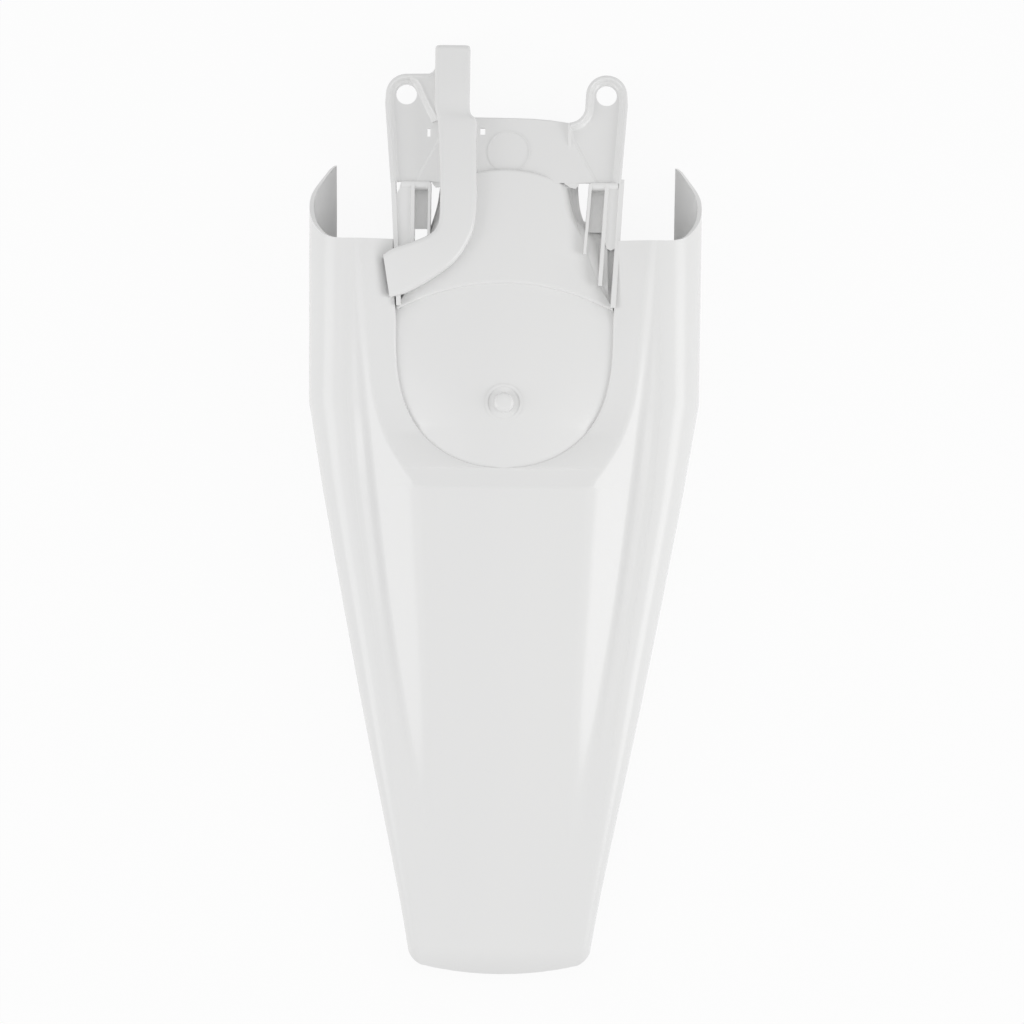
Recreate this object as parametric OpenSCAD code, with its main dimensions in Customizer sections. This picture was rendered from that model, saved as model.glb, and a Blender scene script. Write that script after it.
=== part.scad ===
// Rear fender for an off-road motorcycle, one injection-moulded plastic piece.
// Millimetres. X is across (photo right), Y is forwards, Z is up.
// The origin is midway between the two ear holes, on the ear seats.

/* [Overall size] */
// Half of the greatest width, across the wings
half_width = 130.6; // [127:0.5:136]
// Distance from the ear holes back to the end of the tail
tail_end = 587; // [575:1:605]
// Half of the width of the tail at its end
tail_half = 58; // [55:0.5:64]
// Where the sides start to taper towards the tail
taper_start = 206; // [196:1:216]
// Thickness of the moulded wall
wall = 2.8; // [2.4:0.1:3.2]
// Height of the side rails over the floor at the front of the deck
rail_front = 54; // [51:0.5:57]
// Height of the deck over the floor at the tail
rail_tail = 22; // [19:0.5:26]

/* [Deck] */
// How far the middle of the deck stands over the valleys beside it
deck_rise = 14.5; // [10:0.5:18]
// Distance from the ear holes back to the crest in front of the deck
crest_back = 262; // [258:0.5:266]
// Distance from the ear holes back to the front edge of the deck
deck_front = 98; // [95:0.5:101]
// Height of the turned-down lip at the tail
lip_drop = 9; // [6:0.5:11]

/* [Wheel arch] */
// Half of the width of the wheel arch
arch_half = 71.4; // [69:0.2:73]
// Radius of the arch across the part
arch_across = 135; // [125:1:160]
// Radius of the arch along the part
arch_along = 800; // [700:10:900]
// Distance from the ear holes back to the bottom of the well
well_back = 249; // [246:0.5:251]
// Radius of the locating peg
peg_r = 5.7; // [4.5:0.1:6.5]

/* [Bracket] */
// Distance between the two ear holes
ear_spacing = 133.4; // [130:0.2:137]
// Radius of the ear holes
ear_hole_r = 6.8; // [6:0.1:7.4]
// Outer radius of the ears
ear_r = 13.7; // [13:0.1:15]
// Slope of the bracket plate, in degrees
plate_slope = 15; // [12:0.5:17]
// Thickness of the bracket plate
plate_wall = 3; // [2.6:0.1:3.6]
// Width of the flange round the bracket
flange = 5; // [4:0.2:5.6]
// Height of the flange over the plate
flange_rise = 4.5; // [3:0.5:6]

/* [Harness channel] */
// Width of the channel for the wiring
channel_w = 23.4; // [22:0.2:25]
// Height of the channel over the plate
channel_h = 12; // [10:0.5:14]

/* [Hidden] */
// Height of the ear seats over the floor the part lies on.
ear_z = 20;
// Height of the arch crown where it is level, and its place.
crown_z = 55;
crown_y = 223;

// Small helpers: a blend, a smooth step and a curve through design points.
function mix(a, b, k) = a + (b - a) * k;
function smooth(k) = let (c = min(max(k, 0), 1)) c * c * (3 - 2 * c);
function slope_at(t, i) = let (n = len(t) - 1)
    i == 0 ? (t[1][1] - t[0][1]) / (t[1][0] - t[0][0])
    : i == n ? (t[n][1] - t[n - 1][1]) / (t[n][0] - t[n - 1][0])
    : (t[i + 1][1] - t[i - 1][1]) / (t[i + 1][0] - t[i - 1][0]);
function curve(t, v, i = 0) =
    v <= t[0][0] ? t[0][1]
    : i >= len(t) - 1 ? t[len(t) - 1][1]
    : v > t[i + 1][0] ? curve(t, v, i + 1)
    : let (w = t[i + 1][0] - t[i][0], k = (v - t[i][0]) / w)
      t[i][1] * (1 + 2 * k) * (1 - k) * (1 - k) + t[i + 1][1] * k * k * (3 - 2 * k)
      + w * slope_at(t, i) * k * (1 - k) * (1 - k) - w * slope_at(t, i + 1) * k * k * (1 - k);

// Lines of the skin. s is the distance behind the ear holes, x and z in mm.
wide = half_width;
function side_x(s) = s < taper_start ? wide - 0.8 * max(s - deck_front, 0) / (taper_start - deck_front)
    : let (k = (s - taper_start) / (tail_end - taper_start))
      mix(wide - 0.8, tail_half, k) - 2.2 * (1 - exp(-(s - taper_start) / 9)) * (1 - k);
function rail_z(s) = let (k = (s - deck_front) / (tail_end - deck_front))
    mix(rail_front, rail_tail, k) + 24 * k * (1 - k);
function fade(s) = let (k = (s - crest_back) / 236)
    k <= 0 ? 1 : k >= 1 ? 0 : (1 - pow(k, 1.5)) * (1 - 0.35 * smooth((k - 0.6) / 0.4));
// How far the lines on the deck move out with wider wings or a wider tail.
function spread(s) = let (k = min(max((s - deck_front) / (tail_end - deck_front), 0), 1))
    mix(wide - 130.6, tail_half - 58, k);
function crease_x(s) = spread(s) + curve([[98, 100], [163, 96.7], [230, 90], [270, 85.1], [337, 76.5],
    [417, 63.7], [480, 52.5], [500, 49.5]], s);
function deck_x(s) = spread(s) + (s < 270 ? curve([[98, 95.6], [163, 89.6], [203, 85.4], [230, 76.9], [250, 65.4],
    [260, 58.5], [270, 57]], s) : 57 - 0.048 * (s - 270));
// Height of the crest over the crease: low in front, full height behind the crest.
function crest_rise(s) = s > crest_back ? deck_rise * fade(s)
    : deck_rise * curve([[98, 0.08], [123, 0.14], [203, 0.26], [230, 0.44], [250, 0.77],
      [crest_back, 1]], s);
function crease_z(s) = rail_z(s) - 0.4 * deck_rise * fade(s) * smooth((s - deck_front) / 150);
function crest_z(s) = crease_z(s) + crest_rise(s);
function roll_r(s) = curve([[98, 29], [206, 26], [270, 21], [377, 17], [457, 12], [587, 7]], s);
function skirt_in(s) = curve([[47, 16.4], [98, 16.4], [206, 13], [337, 7], [457, 3], [587, 1]], s);
function skirt_z(s) = 5.5 * smooth((s - 110) / 90) * smooth((tail_end - s) / 90);
function lip(s) = let (k = (s - tail_end + 19) / 19) k <= 0 ? 0 : lip_drop * pow(k, 2);

// Well: half-width of its outline and the arch surface in it.
function well_x(s) = s >= well_back ? 0 : s <= 150 ? arch_half
    : let (k = (s - 150) / (well_back - 150)) arch_half * pow(1 - pow(k, 3.2), 0.5);
function arch_drop(x) = arch_across - sqrt(arch_across * arch_across - x * x);
function crown(s) = crown_z - arch_along + sqrt(arch_along * arch_along - pow(s - crown_y, 2));
function arch_z(x, s) = crown(s) - arch_drop(x);
// Height of the sloping band where it meets the well.
function band_z(s) = let (w = smooth(well_x(s) / 62))
    mix(crest_z(crest_back) - 0.16 * (crest_back - s), crest_z(s) - (0.25 + 0.25 * smooth((206 - s) / 100)) * (deck_x(s) - well_x(s)), w);

// Half section of the skin from the middle to the lower edge, as [x, z]: arch, its
// wall, band, crest, facet, valley, rail rolling over, and skirt.
arch_n = 6;
inner_n = 2;
roll_n = 5;
skirt_n = 4;
half_n = 8 + inner_n + roll_n + 1 + skirt_n;
function middle(q, xd, zd) = let (w = well_x(q), za = arch_z(w, q))
    w > 8 ? concat([for (i = [0:3]) [w * i / 3, arch_z(w * i / 3, q)]], [[w + 0.3, max(band_z(q), za + 1.2)]])
    : [for (i = [0:4]) [xd * i * 0.16, q < crest_back ? mix(band_z(q), zd, i * 0.16) : zd + 0.3 * (1 - i / 5)]];
function half_section(s) = let (
    q = max(s, deck_front), xs = side_x(s), r = roll_r(q), zr = rail_z(q), xr = xs - r,
    xc = min(crease_x(q), xr - 1.2), xd = min(deck_x(q), xc - 3.2), zc = crease_z(q), zd = crest_z(q),
    z0 = skirt_z(q), zs = max(zr - r, z0 + 3), d = lip(s))
    concat(
        [for (p = middle(q, xd, zd)) [p[0], p[1] - d]],
        [[xd, zd - d], [mix(xd, xc, 0.5), mix(zd, zc, 0.5) - d], [xc, zc - d]],
        [for (i = [1:inner_n]) let (k = i / (inner_n + 1))
            [mix(xc, xr, k), mix(zc, zr, smooth(k)) - d]],
        [for (i = [0:roll_n]) let (a = 90 * i / roll_n)
            [xr + r * sin(a), zs + (zr - zs) * cos(a) - d]],
        [for (i = [1:skirt_n]) let (k = i / skirt_n)
            [xs - skirt_in(s) * pow(k, 2), max(mix(zs, z0, k) - d * (1 - k), z0 * k)]]);
// Inner side of a section: each point moved by the wall across the section.
function turned(v) = let (l = norm(v)) [-v[1] / l, v[0] / l];
function inset(p, i, t) = let (
    a = turned(i == 0 ? [1, 0] : p[i] - p[i - 1]), b = turned(i == len(p) - 1 ? p[i] - p[i - 1] : p[i + 1] - p[i]),
    m = a + b) p[i] - m * (t * 2 / max(m * m, 1.2));
function ring(s) = let (p = half_section(s), n = half_n, q = [for (i = [0:n - 1]) inset(p, i, wall)])
    concat([for (i = [n - 1:-1:1]) [-p[i][0], -s, p[i][1]]], [for (i = [0:n - 1]) [p[i][0], -s, p[i][1]]],
        [for (i = [n - 1:-1:0]) [q[i][0], -s, q[i][1]]], [for (i = [1:n - 1]) [-q[i][0], -s, q[i][1]]]);

// A solid through rings of points that lie one behind the other.
module loft(rings) {
    n = len(rings[0]);
    m = len(rings);
    polyhedron(points = [for (r = rings) each r], convexity = 12, faces = concat(
        [[for (k = [n - 1:-1:0]) k]], [[for (k = [0:n - 1]) (m - 1) * n + k]],
        [for (j = [0:m - 2], k = [0:n - 1]) [j * n + k, j * n + (k + 1) % n, (j + 1) * n + k]],
        [for (j = [0:m - 2], k = [0:n - 1])
            [j * n + (k + 1) % n, (j + 1) * n + (k + 1) % n, (j + 1) * n + k]]));
}
// The same for thin shells whose ends aren't flat: each end is closed by a strip.
module shell(rings) {
    n = len(rings[0]);
    m = len(rings);
    e = (m - 1) * n;
    polyhedron(points = [for (r = rings) each r], convexity = 12, faces = concat(
        [for (k = [0:n / 2 - 2]) [k + 1, k, n - 1 - k]], [for (k = [0:n / 2 - 2]) [k + 1, n - 1 - k, n - 2 - k]],
        [for (k = [0:n / 2 - 2]) [e + k, e + k + 1, e + n - 1 - k]],
        [for (k = [0:n / 2 - 2]) [e + k + 1, e + n - 2 - k, e + n - 1 - k]],
        [for (j = [0:m - 2], k = [0:n - 1]) [j * n + k, j * n + (k + 1) % n, (j + 1) * n + k]],
        [for (j = [0:m - 2], k = [0:n - 1])
            [j * n + (k + 1) % n, (j + 1) * n + (k + 1) % n, (j + 1) * n + k]]));
}
stations = concat([for (s = [46:10:96]) s], [for (s = [100:21:190]) s],
    [for (s = [206, 212, 220, 228, 235, 240, 244, 246.8, 248.4, 249.4, 252, 257]) s],
    [for (s = [crest_back:24.8:560]) s], [for (k = [0:4]) tail_end - 19 + 19 * k / 4]);

// Solids in plan and side view.
module plan(lo, hi) translate([0, 0, lo]) linear_extrude(height = hi - lo) children();
// Extrudes a drawing made in y and z across the part, from x = a to x = b.
module across(a, b) translate([a, 0, 0]) rotate([90, 0, 90]) linear_extrude(height = b - a) children();
// A drawing in plan, thickened between two heights over the sloping bracket plane.
rise_per = tan(plate_slope);
module sloped(lo, hi, back = 62) intersection() {
    plan(-30, 110) children();
    across(-140, 140) polygon([[45, ear_z - 45 * rise_per + lo], [45, ear_z - 45 * rise_per + hi],
        [-back, ear_z + back * rise_per + hi], [-back, ear_z + back * rise_per + lo]]);
}
module both_sides() {
    children();
    mirror([1, 0, 0]) children();
}

// Deck, facets, valleys, rails and wings as one shell, open in front.
module skin() difference() {
    shell([for (s = stations) ring(s)]);
    // Room in front of the deck, between the wings.
    plan(-20, 120) polygon([[-112.2, -40], [112.2, -40], [112.2, -deck_front + 1], [110, -deck_front],
        [-110, -deck_front], [-112.2, -deck_front + 1]]);
    // Raked front edges of the wings.
    across(-150, 150) polygon([[-40, 110], [-98, 110], [-98, 52], [-93.5, 38], [-84, 31], [-73, 25],
        [-67.4, 19.2], [-62, 13.3], [-56.7, 8], [-51.4, 4], [-46.8, 0.8], [-46.6, -1], [-40, -1]]);
    // The arch ends under the raised front shell.
    plan(-20, 120) polygon(concat([[-arch_half - 1.6, -90], [arch_half + 1.6, -90], [arch_half + 1.6, -140]],
        [for (i = [8:-1:-8]) let (x = (arch_half + 1.2) * i / 8) [x, -122 - 17 * pow(x / arch_half, 2)]], [[-arch_half - 1.6, -140]]));
    // Rounded end of the tail.
    plan(-20, 120) polygon(concat([[-90, -tail_end - 20], [-90, -tail_end + 22], [-tail_half - 3, -tail_end + 22],
        [-tail_half - 0.6, -tail_end + 17], [-tail_half + 1.6, -tail_end + 12.5]],
        [for (i = [-5:5]) let (x = (tail_half - 5) * i / 5) [x, -tail_end + 9.6 * pow(i / 5, 2)]],
        [[tail_half - 1.6, -tail_end + 12.5], [tail_half + 0.6, -tail_end + 17], [tail_half + 3, -tail_end + 22],
        [90, -tail_end + 22], [90, -tail_end - 20]]));
    // Harness passage under the end of the channel.
    plan(-20, 120) polygon([[-90, -deck_front + 1], [-72, -deck_front + 1], [-72, -138], [-77, -126], [-80, -108]]);
}

// Locating peg in its dimple.
module peg() translate([0, -crown_y + 17, crown_z - wall / 2]) {
    cylinder(h = wall / 2 + 5.5, r = peg_r, $fn = 48);
    difference() {
        cylinder(h = wall / 2 + 0.7, r = 12.5, $fn = 64);
        translate([0, 0, 0.3]) cylinder(h = 10, r = 10.5, $fn = 64);
    }
}

// Front of the arch: a raised shell between two curved edges, with steep sides.
function cheek_x(k) = arch_half / 71.4 * curve([[0, 44.5], [0.15, 46.5], [0.5, 53], [0.7, 57], [0.86, 63.5], [1, 72.6]], k);
function hood_pt(x, k, up) = let (s = mix(52.5, 125, k) + mix(29.9, 17.6, k) * pow(x / arch_half, 2))
    [x, -s, arch_z(x, s) + up];
// Foot of a side: it spreads a little where the sides are steepest.
function low(p) = [p[0] + sign(p[0]) * 4 * min(max((110 + p[1]) / 55, 0), 1), p[1],
    min(ear_z - p[1] * rise_per - 9, p[2] - 5)];
function hood(k) = let (w = cheek_x(k), a = [for (i = [-arch_n:arch_n]) hood_pt(w * i / arch_n, k, 2.6)],
    b = [for (i = [-arch_n:arch_n]) hood_pt((w - 2.6) * i / arch_n, k, -0.4)], m = 2 * arch_n)
    concat([low(a[0])], a, [low(a[m])], [low(b[m])], [for (i = [m:-1:0]) b[i]], [low(b[0])]);
module arch_front() shell([for (i = [0:9]) hood(i / 9)]);

// Bracket in front of the arch: plate, two ears and their flanges.
ear_x = ear_spacing / 2;
module ear_half(g) {
    translate([ear_x, 0]) circle(r = ear_r - g, $fn = 96);
    polygon([[52.6 + g, 0.3], [ear_x + ear_r - g, 0.3], [80.9 - g, -6], [76.4 - g, -60.5], [46, -60.5],
        [46, -18.7 - g], [52.6 + g, -18.7 - g]]);
}
module plate_plan() {
    both_sides() ear_half(0);
    translate([-50, -60.5]) square([100, 41.8]);
    both_sides() difference() {
        translate([41.3, -18.8]) square([11.4, 11.4]);
        translate([41.3, -7.4]) circle(r = 11.3, $fn = 64);
    }
    // Shoulder between the left ear and the channel.
    polygon([[-ear_x, 13.7], [-ear_x, 0], [-44, -10], [-44, 18.5], [-47.6, 18.2], [-49.4, 15.2], [-51.6, 14]]);
}
module bracket() difference() {
    union() {
        sloped(-plate_wall, 0) plate_plan();
        sloped(-plate_wall, flange_rise) difference() {
            plate_plan();
            both_sides() ear_half(flange);
            translate([-53, -70]) square([106, 47.3]);
            translate([-53, -70]) square([90, 50.4]);
        }
        // Raised middle of the plate.
        sloped(-1, 1.2) polygon([[-47, -20], [47, -20], [45.5, -30], [58, -60.5], [-58, -60.5], [-45.5, -30]]);
        sloped(0.5, 1.7) translate([1.8, -38.7]) circle(r = 14, $fn = 72);
        // Gusset on the front edge.
        across(41, 43.2) polygon([[-19, ear_z + 4], [-19, ear_z + 19 * rise_per + flange_rise],
            [-22, ear_z + 22 * rise_per + flange_rise], [-37, ear_z + 37 * rise_per + 1]]);
    }
    sloped(0.7, 3) translate([1.8, -38.7]) circle(r = 13.2, $fn = 72);
    both_sides() translate([ear_x, 0, -20]) cylinder(h = 80, r = ear_hole_r, $fn = 64);
    // Slots for the cable ties beside the channel.
    plan(-20, 110) polygon([[-52.5, -23.3], [-50.5, -23.3], [-50.5, -28.7], [-52.5, -28.7]]);
    plan(-20, 110) polygon([[-17.3, -22.7], [-14, -22.7], [-14, -27.3], [-17.3, -27.3]]);
    plan(-20, 110) polygon([[50, -59], [55.6, -59], [55.6, -70], [50, -70]]);
    plan(-20, 110) polygon([[-46.4, -57], [-50.7, -57], [-50.7, -70], [-46.4, -70]]);
}

// Ribbed towers that join the bracket to the deck.
function rib_z(s) = ear_z + 57 * rise_per + flange_rise - 1 + (s - 57) * 0.13;
module rib(x0, x1, s0, s1, t) intersection() {
    plan(-20, 120) polygon([[x0, -s0], [x0 + t, -s0], [x1 + t, -s1], [x1, -s1]]);
    across(-5, 90) polygon([[-s0, rib_z(s0) - 17], [-s0, rib_z(s0)], [-s1, rib_z(s1)], [-s1, rib_z(s1) - 17]]);
}
// Ribs of the right and of the left tower: distance out at the front and back end, where
// the rib ends and its thickness.
right_ribs = [[56.2, 53.4, 106, 2.6], [65.7, 63, 126, 3.2], [75.4, 72, 142, 3.2]];
left_ribs = [[50.7, 51.2, 92, 2.6], [61.3, 61.3, 106, 3], [73.6, 68, 142, 3.2]];
module tower(r) {
    a = r[0][0];
    b = r[2][0];
    for (i = [0:2]) rib(r[i][0], r[i][1], i == 2 ? 57 : 58, r[i][2], r[i][3]);
    // Cross wall and floor.
    intersection() {
        plan(0, 100) polygon([[a + 1.5, -57], [b + 2, -57], [b + 1.8, -61], [a + 1.5, -61]]);
        across(0, 90) polygon([[-56, rib_z(58) - 17], [-56, rib_z(58)], [-62, rib_z(58)], [-62, rib_z(58) - 17]]);
    }
    intersection() {
        plan(0, 100) polygon([[a + 1.2, -57.5], [b + 2, -57.5], [r[2][1] + 2, -142],
            [r[2][1] - 3, -142], [56, -110], [51, -97], [50, -82], [a + 1.1, -82]]);
        across(40, 90) polygon([[-56, rib_z(57) - 11.6], [-56, rib_z(57) - 9], [-142, rib_z(142) - 3],
            [-142, rib_z(142) - 5.6]]);
    }
}

// Harness channel: edges in plan, top and foot, from the front end to the back end.
duct = [[-47.8, 33, -24.4, 33, 23, 11], [-47.8, 6, -24.4, 6, 30.5, 18], [-47.6, -8, -24.2, -8, 34, 22],
    [-45.6, -20, -19.8, -19, 37.6, 25], [-44.6, -36, -20.2, -36, 42, 29], [-43.8, -57, -21, -57, 47, 33],
    [-43.8, -71, -21.6, -70, 50, 36], [-45.6, -80, -26.8, -90, 52.6, 37], [-50.2, -88.6, -37, -106.6, 55, 37],
    [-60.2, -94, -50.2, -119.8, 56.6, 35], [-75.4, -101.3, -66.4, -130.4, 55.4, 37], [-81, -106, -76.4, -133.8, 53.4, 41]];
function duct_col(c, k) = curve([for (i = [0:len(duct) - 1]) [i, duct[i][c]]], k);
function duct_row(k) = [for (c = [0:5]) duct_col(c, k)];
function duct_at(r, u, z) = let (v = 0.5 + (u - 0.5) * channel_w / 23.4) [mix(r[0], r[2], v), mix(r[1], r[3], v), z];
duct_round = [[0, 4], [0.06, 1.2], [0.2, 0]];
function duct_ring(k) = let (r = duct_row(k), t = channel_h - 12, w = norm([r[2] - r[0], r[3] - r[1]]), g = 2.3 / w)
    concat([duct_at(r, 0, r[5])], [for (p = duct_round) duct_at(r, p[0], r[4] + t - p[1])],
        [for (i = [2:-1:0]) duct_at(r, 1 - duct_round[i][0], r[4] + t - duct_round[i][1])], [duct_at(r, 1, r[5])],
        [duct_at(r, 1 - g, r[5])], [for (i = [0:2]) duct_at(r, 1 - g - duct_round[i][0] * 0.8, r[4] + t - 2.3 - duct_round[i][1] * 0.8)],
        [for (i = [2:-1:0]) duct_at(r, g + duct_round[i][0] * 0.8, r[4] + t - 2.3 - duct_round[i][1] * 0.8)], [duct_at(r, g, r[5])]);
function bore_ring(k) = let (r = duct_row(k), w = norm([r[2] - r[0], r[3] - r[1]]), g = 2.2 / w)
    [duct_at(r, g, -5), duct_at(r, g, r[4] - 6), duct_at(r, g + 0.1, r[4] - 3.4), duct_at(r, 0.9 - g, r[4] - 3.4),
        duct_at(r, 1 - g, r[4] - 6), duct_at(r, 1 - g, -5)];
module channel() {
    shell([for (i = [0:22]) duct_ring(i / 2)]);
    // End wall of the front end.
    across(-35.1 - channel_w / 2, -37.1 + channel_w / 2) polygon([[33, 11.5], [33, 19.5], [32, 22.4], [30.6, 22.6], [30.6, 11.5]]);
}
module channel_bore() loft([for (i = [0:16]) bore_ring(2.2 + i * 8.75 / 16)]);

module rear_fender() color([0.93, 0.93, 0.925]) translate([0, 0, -ear_z]) {
    difference() {
        union() {
            bracket();
            arch_front();
            tower(right_ribs);
            mirror([1, 0, 0]) tower(left_ribs);
        }
        channel_bore();
    }
    difference() {
        skin();
        channel_bore();
    }
    peg();
    channel();
}

rear_fender();
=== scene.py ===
"""Rear fender for an off-road motorcycle: one piece of white moulded plastic.

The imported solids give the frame. The shell is worked out again here as smooth numpy surfaces
with the same lines, in millimetres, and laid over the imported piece. X is across, Y forwards,
Z up; s is the distance behind the ear holes, so y = -s.
"""

import bmesh
import bpy
import numpy as np
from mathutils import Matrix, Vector
from mathutils.geometry import delaunay_2d_cdt


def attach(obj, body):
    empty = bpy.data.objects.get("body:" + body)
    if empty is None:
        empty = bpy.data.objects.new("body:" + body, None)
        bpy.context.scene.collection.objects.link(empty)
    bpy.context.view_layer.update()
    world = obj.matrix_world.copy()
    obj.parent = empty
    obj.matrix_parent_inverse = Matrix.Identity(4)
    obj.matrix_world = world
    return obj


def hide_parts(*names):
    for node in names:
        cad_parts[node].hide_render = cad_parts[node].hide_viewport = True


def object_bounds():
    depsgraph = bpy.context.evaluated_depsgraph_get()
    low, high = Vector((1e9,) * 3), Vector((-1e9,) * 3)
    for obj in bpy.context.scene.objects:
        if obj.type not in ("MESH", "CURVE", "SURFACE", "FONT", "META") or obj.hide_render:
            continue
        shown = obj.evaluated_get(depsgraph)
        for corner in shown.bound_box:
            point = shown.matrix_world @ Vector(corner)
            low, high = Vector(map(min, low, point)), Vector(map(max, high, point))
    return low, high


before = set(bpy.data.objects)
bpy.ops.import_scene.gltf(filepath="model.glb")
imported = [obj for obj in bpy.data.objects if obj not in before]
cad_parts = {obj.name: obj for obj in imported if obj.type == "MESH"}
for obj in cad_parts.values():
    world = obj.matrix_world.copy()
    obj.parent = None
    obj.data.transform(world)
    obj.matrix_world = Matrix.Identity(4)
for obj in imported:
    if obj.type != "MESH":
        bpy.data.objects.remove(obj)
packed_box = [[float(v) for v in corner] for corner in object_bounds()]

MM = 0.001

# ---------------------------------------------------------------- driving sizes, in millimetres
HALF_WIDTH = 130.6      # at the wings
TAIL_END = 587.0        # from the ear holes to the tail
TAIL_HALF = 58.0
TAPER_START = 206.0     # where the sides begin to close in
WALL = 2.8
RAIL_FRONT = 54.0       # height of the side rails over the floor, front and tail
RAIL_TAIL = 22.0
RAIL_CROWN = 24.0
DECK_RISE = 14.5        # height of the deck's crest over its crease
DECK_FRONT = 98.0
CREST_BACK = 262.0      # behind here the deck sinks towards the tail
WING_TIP = 46.6         # front end of the wings
LIP_DROP = 9.0
LIP_LONG = 19.0
ARCH_HALF = 71.4        # half-width of the wheel well
ARCH_ACROSS = 135.0     # radii of the arch, across and along
ARCH_ALONG = 800.0
CROWN_Z = 55.0          # highest point of the arch
CROWN_S = 223.0
WELL_BACK = 249.0
WELL_STRAIGHT = 150.0
WELL_STEP = 2.4         # from the band down to the floor beside it
HOOD_FRONT = 52.5       # middle of the hood's front and back edges
HOOD_BACK = 125.0
HOOD_STEP = 2.6
PEG_S = CROWN_S - 17
EAR_Z = 20.0            # height of the ear seats over the floor
EAR_X = 66.7
EAR_R = 13.7
EAR_HOLE_R = 6.9
PLATE_BACK = 59.5
PLATE_WALL = 3.0
PLATE_RISE = np.tan(np.radians(15.0))
RIM_RISE = 4.5          # height of the ears' rim over the plate
RIM_FOOT = 2.9          # how far the rims reach down below the plate's face


# ---------------------------------------------------------------- curves of the skin
def curve(points, v):
    """Smooth curve through (place, value) points: a cubic between neighbours whose slopes
    come from the points on either side; flat beyond the ends."""
    t, p = np.array(points, float).T
    slope = np.gradient(p, t)
    slope[1:-1] = (p[2:] - p[:-2]) / (t[2:] - t[:-2])
    v = np.clip(np.asarray(v, float), t[0], t[-1])
    i = np.clip(np.searchsorted(t, v, side="right") - 1, 0, len(t) - 2)
    w = t[i + 1] - t[i]
    k = (v - t[i]) / w
    return (p[i] * (1 + 2 * k) * (1 - k) ** 2 + p[i + 1] * k * k * (3 - 2 * k)
            + w * slope[i] * k * (1 - k) ** 2 - w * slope[i + 1] * k * k * (1 - k))


def mix(a, b, k):
    """From a to b as k goes from 0 to 1."""
    return a + (b - a) * k


def smooth(k):
    """0 to 1 with level ends: k^2 (3 - 2k)."""
    k = np.clip(k, 0, 1)
    return k * k * (3 - 2 * k)


def side_x(s):
    """Half-width: nearly parallel along the wings, then a nearly straight taper to the tail."""
    k = np.clip((s - TAPER_START) / (TAIL_END - TAPER_START), 0, 1)
    front = HALF_WIDTH - 0.8 * np.clip((s - DECK_FRONT) / (TAPER_START - DECK_FRONT), 0, 1)
    bow = curve([(TAPER_START, 0), (217, 0.1), (270, 1.1), (398, 1.1), (530, -0.8), (TAIL_END, 0)], s)
    return mix(front, TAIL_HALF, k) + bow


def rail_z(s):
    """Height of the side rails: a straight fall with a bow of RAIL_CROWN k (1 - k)."""
    k = (s - DECK_FRONT) / (TAIL_END - DECK_FRONT)
    return mix(RAIL_FRONT, RAIL_TAIL, k) + RAIL_CROWN * k * (1 - k)


def fade(s):
    """How much of the deck's rise is left: 1 at the crest, falling as 1 - k^1.5 to 0."""
    k = np.clip((s - CREST_BACK) / 236, 0, 1)
    return (1 - k ** 1.5) * (1 - 0.35 * smooth((k - 0.6) / 0.4))


def crease_x(s):
    """Distance out of the crease at the valley's floor."""
    return curve([(98, 100), (163, 96.7), (230, 90), (270, 85.1), (337, 76.5), (417, 63.7),
                  (480, 52.5), (500, 49.5)], s)


def deck_x(s):
    """Distance out of the deck's crest: curved beside the well, then closing in evenly."""
    front = curve([(98, 95.6), (163, 89.6), (203, 85.4), (230, 76.9), (250, 65.4), (260, 58.5),
                   (270, 57)], s)
    return np.where(s < 270, front, 57 - 0.048 * (s - 270))


def crest_rise(s):
    """Height of the crest over the crease."""
    front = curve([(98, 0.08), (123, 0.14), (203, 0.26), (230, 0.44), (250, 0.77), (CREST_BACK, 1)], s)
    return DECK_RISE * np.where(s > CREST_BACK, fade(s), front)


def crease_z(s):
    """Height of the crease: it sinks below the rail as the deck rises."""
    return rail_z(s) - 0.4 * DECK_RISE * fade(s) * smooth((s - DECK_FRONT) / 150)


def crest_z(s):
    return crease_z(s) + crest_rise(s)


def roll_r(s):
    """Radius of the roll from the rail down to the side."""
    return curve([(98, 29), (206, 26), (270, 21), (377, 17), (457, 12), (587, 7)], s)


def skirt_in(s):
    """How far the side curls in at its foot."""
    return curve([(47, 15.2), (98, 15.6), (206, 13), (337, 7), (457, 3), (587, 1)], s)


def skirt_z(s):
    """Height of the side's foot: on the floor at both ends, a little above it between."""
    return 5.5 * smooth((s - 110) / 90) * smooth((TAIL_END - s) / 90)


def lip(s):
    """How far the last LIP_LONG of the tail turns down, as the square of the way along."""
    return LIP_DROP * np.clip((s - TAIL_END + LIP_LONG) / LIP_LONG, 0, 1) ** 2


def well_x(s, grow=0.0):
    """Half-width of the well: it narrows beside the towers, runs straight, and has a rounded
    end at WELL_BACK."""
    k = np.clip((s - WELL_STRAIGHT) / (WELL_BACK + grow - WELL_STRAIGHT), 0, 1)
    front = 2.2 * np.sin(np.pi / 2 * np.clip((152 - s) / 45, 0, 1))
    return (ARCH_HALF + grow + front) * np.sqrt(np.clip(1 - k ** 3.2, 0, 1))


def arch_z(x, s):
    """Arch surface: one circle across, another along, added together."""
    across = ARCH_ACROSS - np.sqrt(ARCH_ACROSS ** 2 - np.square(x))
    along = ARCH_ALONG - np.sqrt(ARCH_ALONG ** 2 - np.square(s - CROWN_S))
    return CROWN_Z - across - along


def band_z(s):
    """Height of the sloping band at the well's edge."""
    w = smooth(well_x(s) / 62)
    back = crest_z(np.full_like(s, CREST_BACK)) - 0.16 * (CREST_BACK - s)
    side = crest_z(s) - (0.25 + 0.25 * smooth((206 - s) / 100)) * (deck_x(s) - well_x(s))
    return mix(back, side, w)


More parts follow.
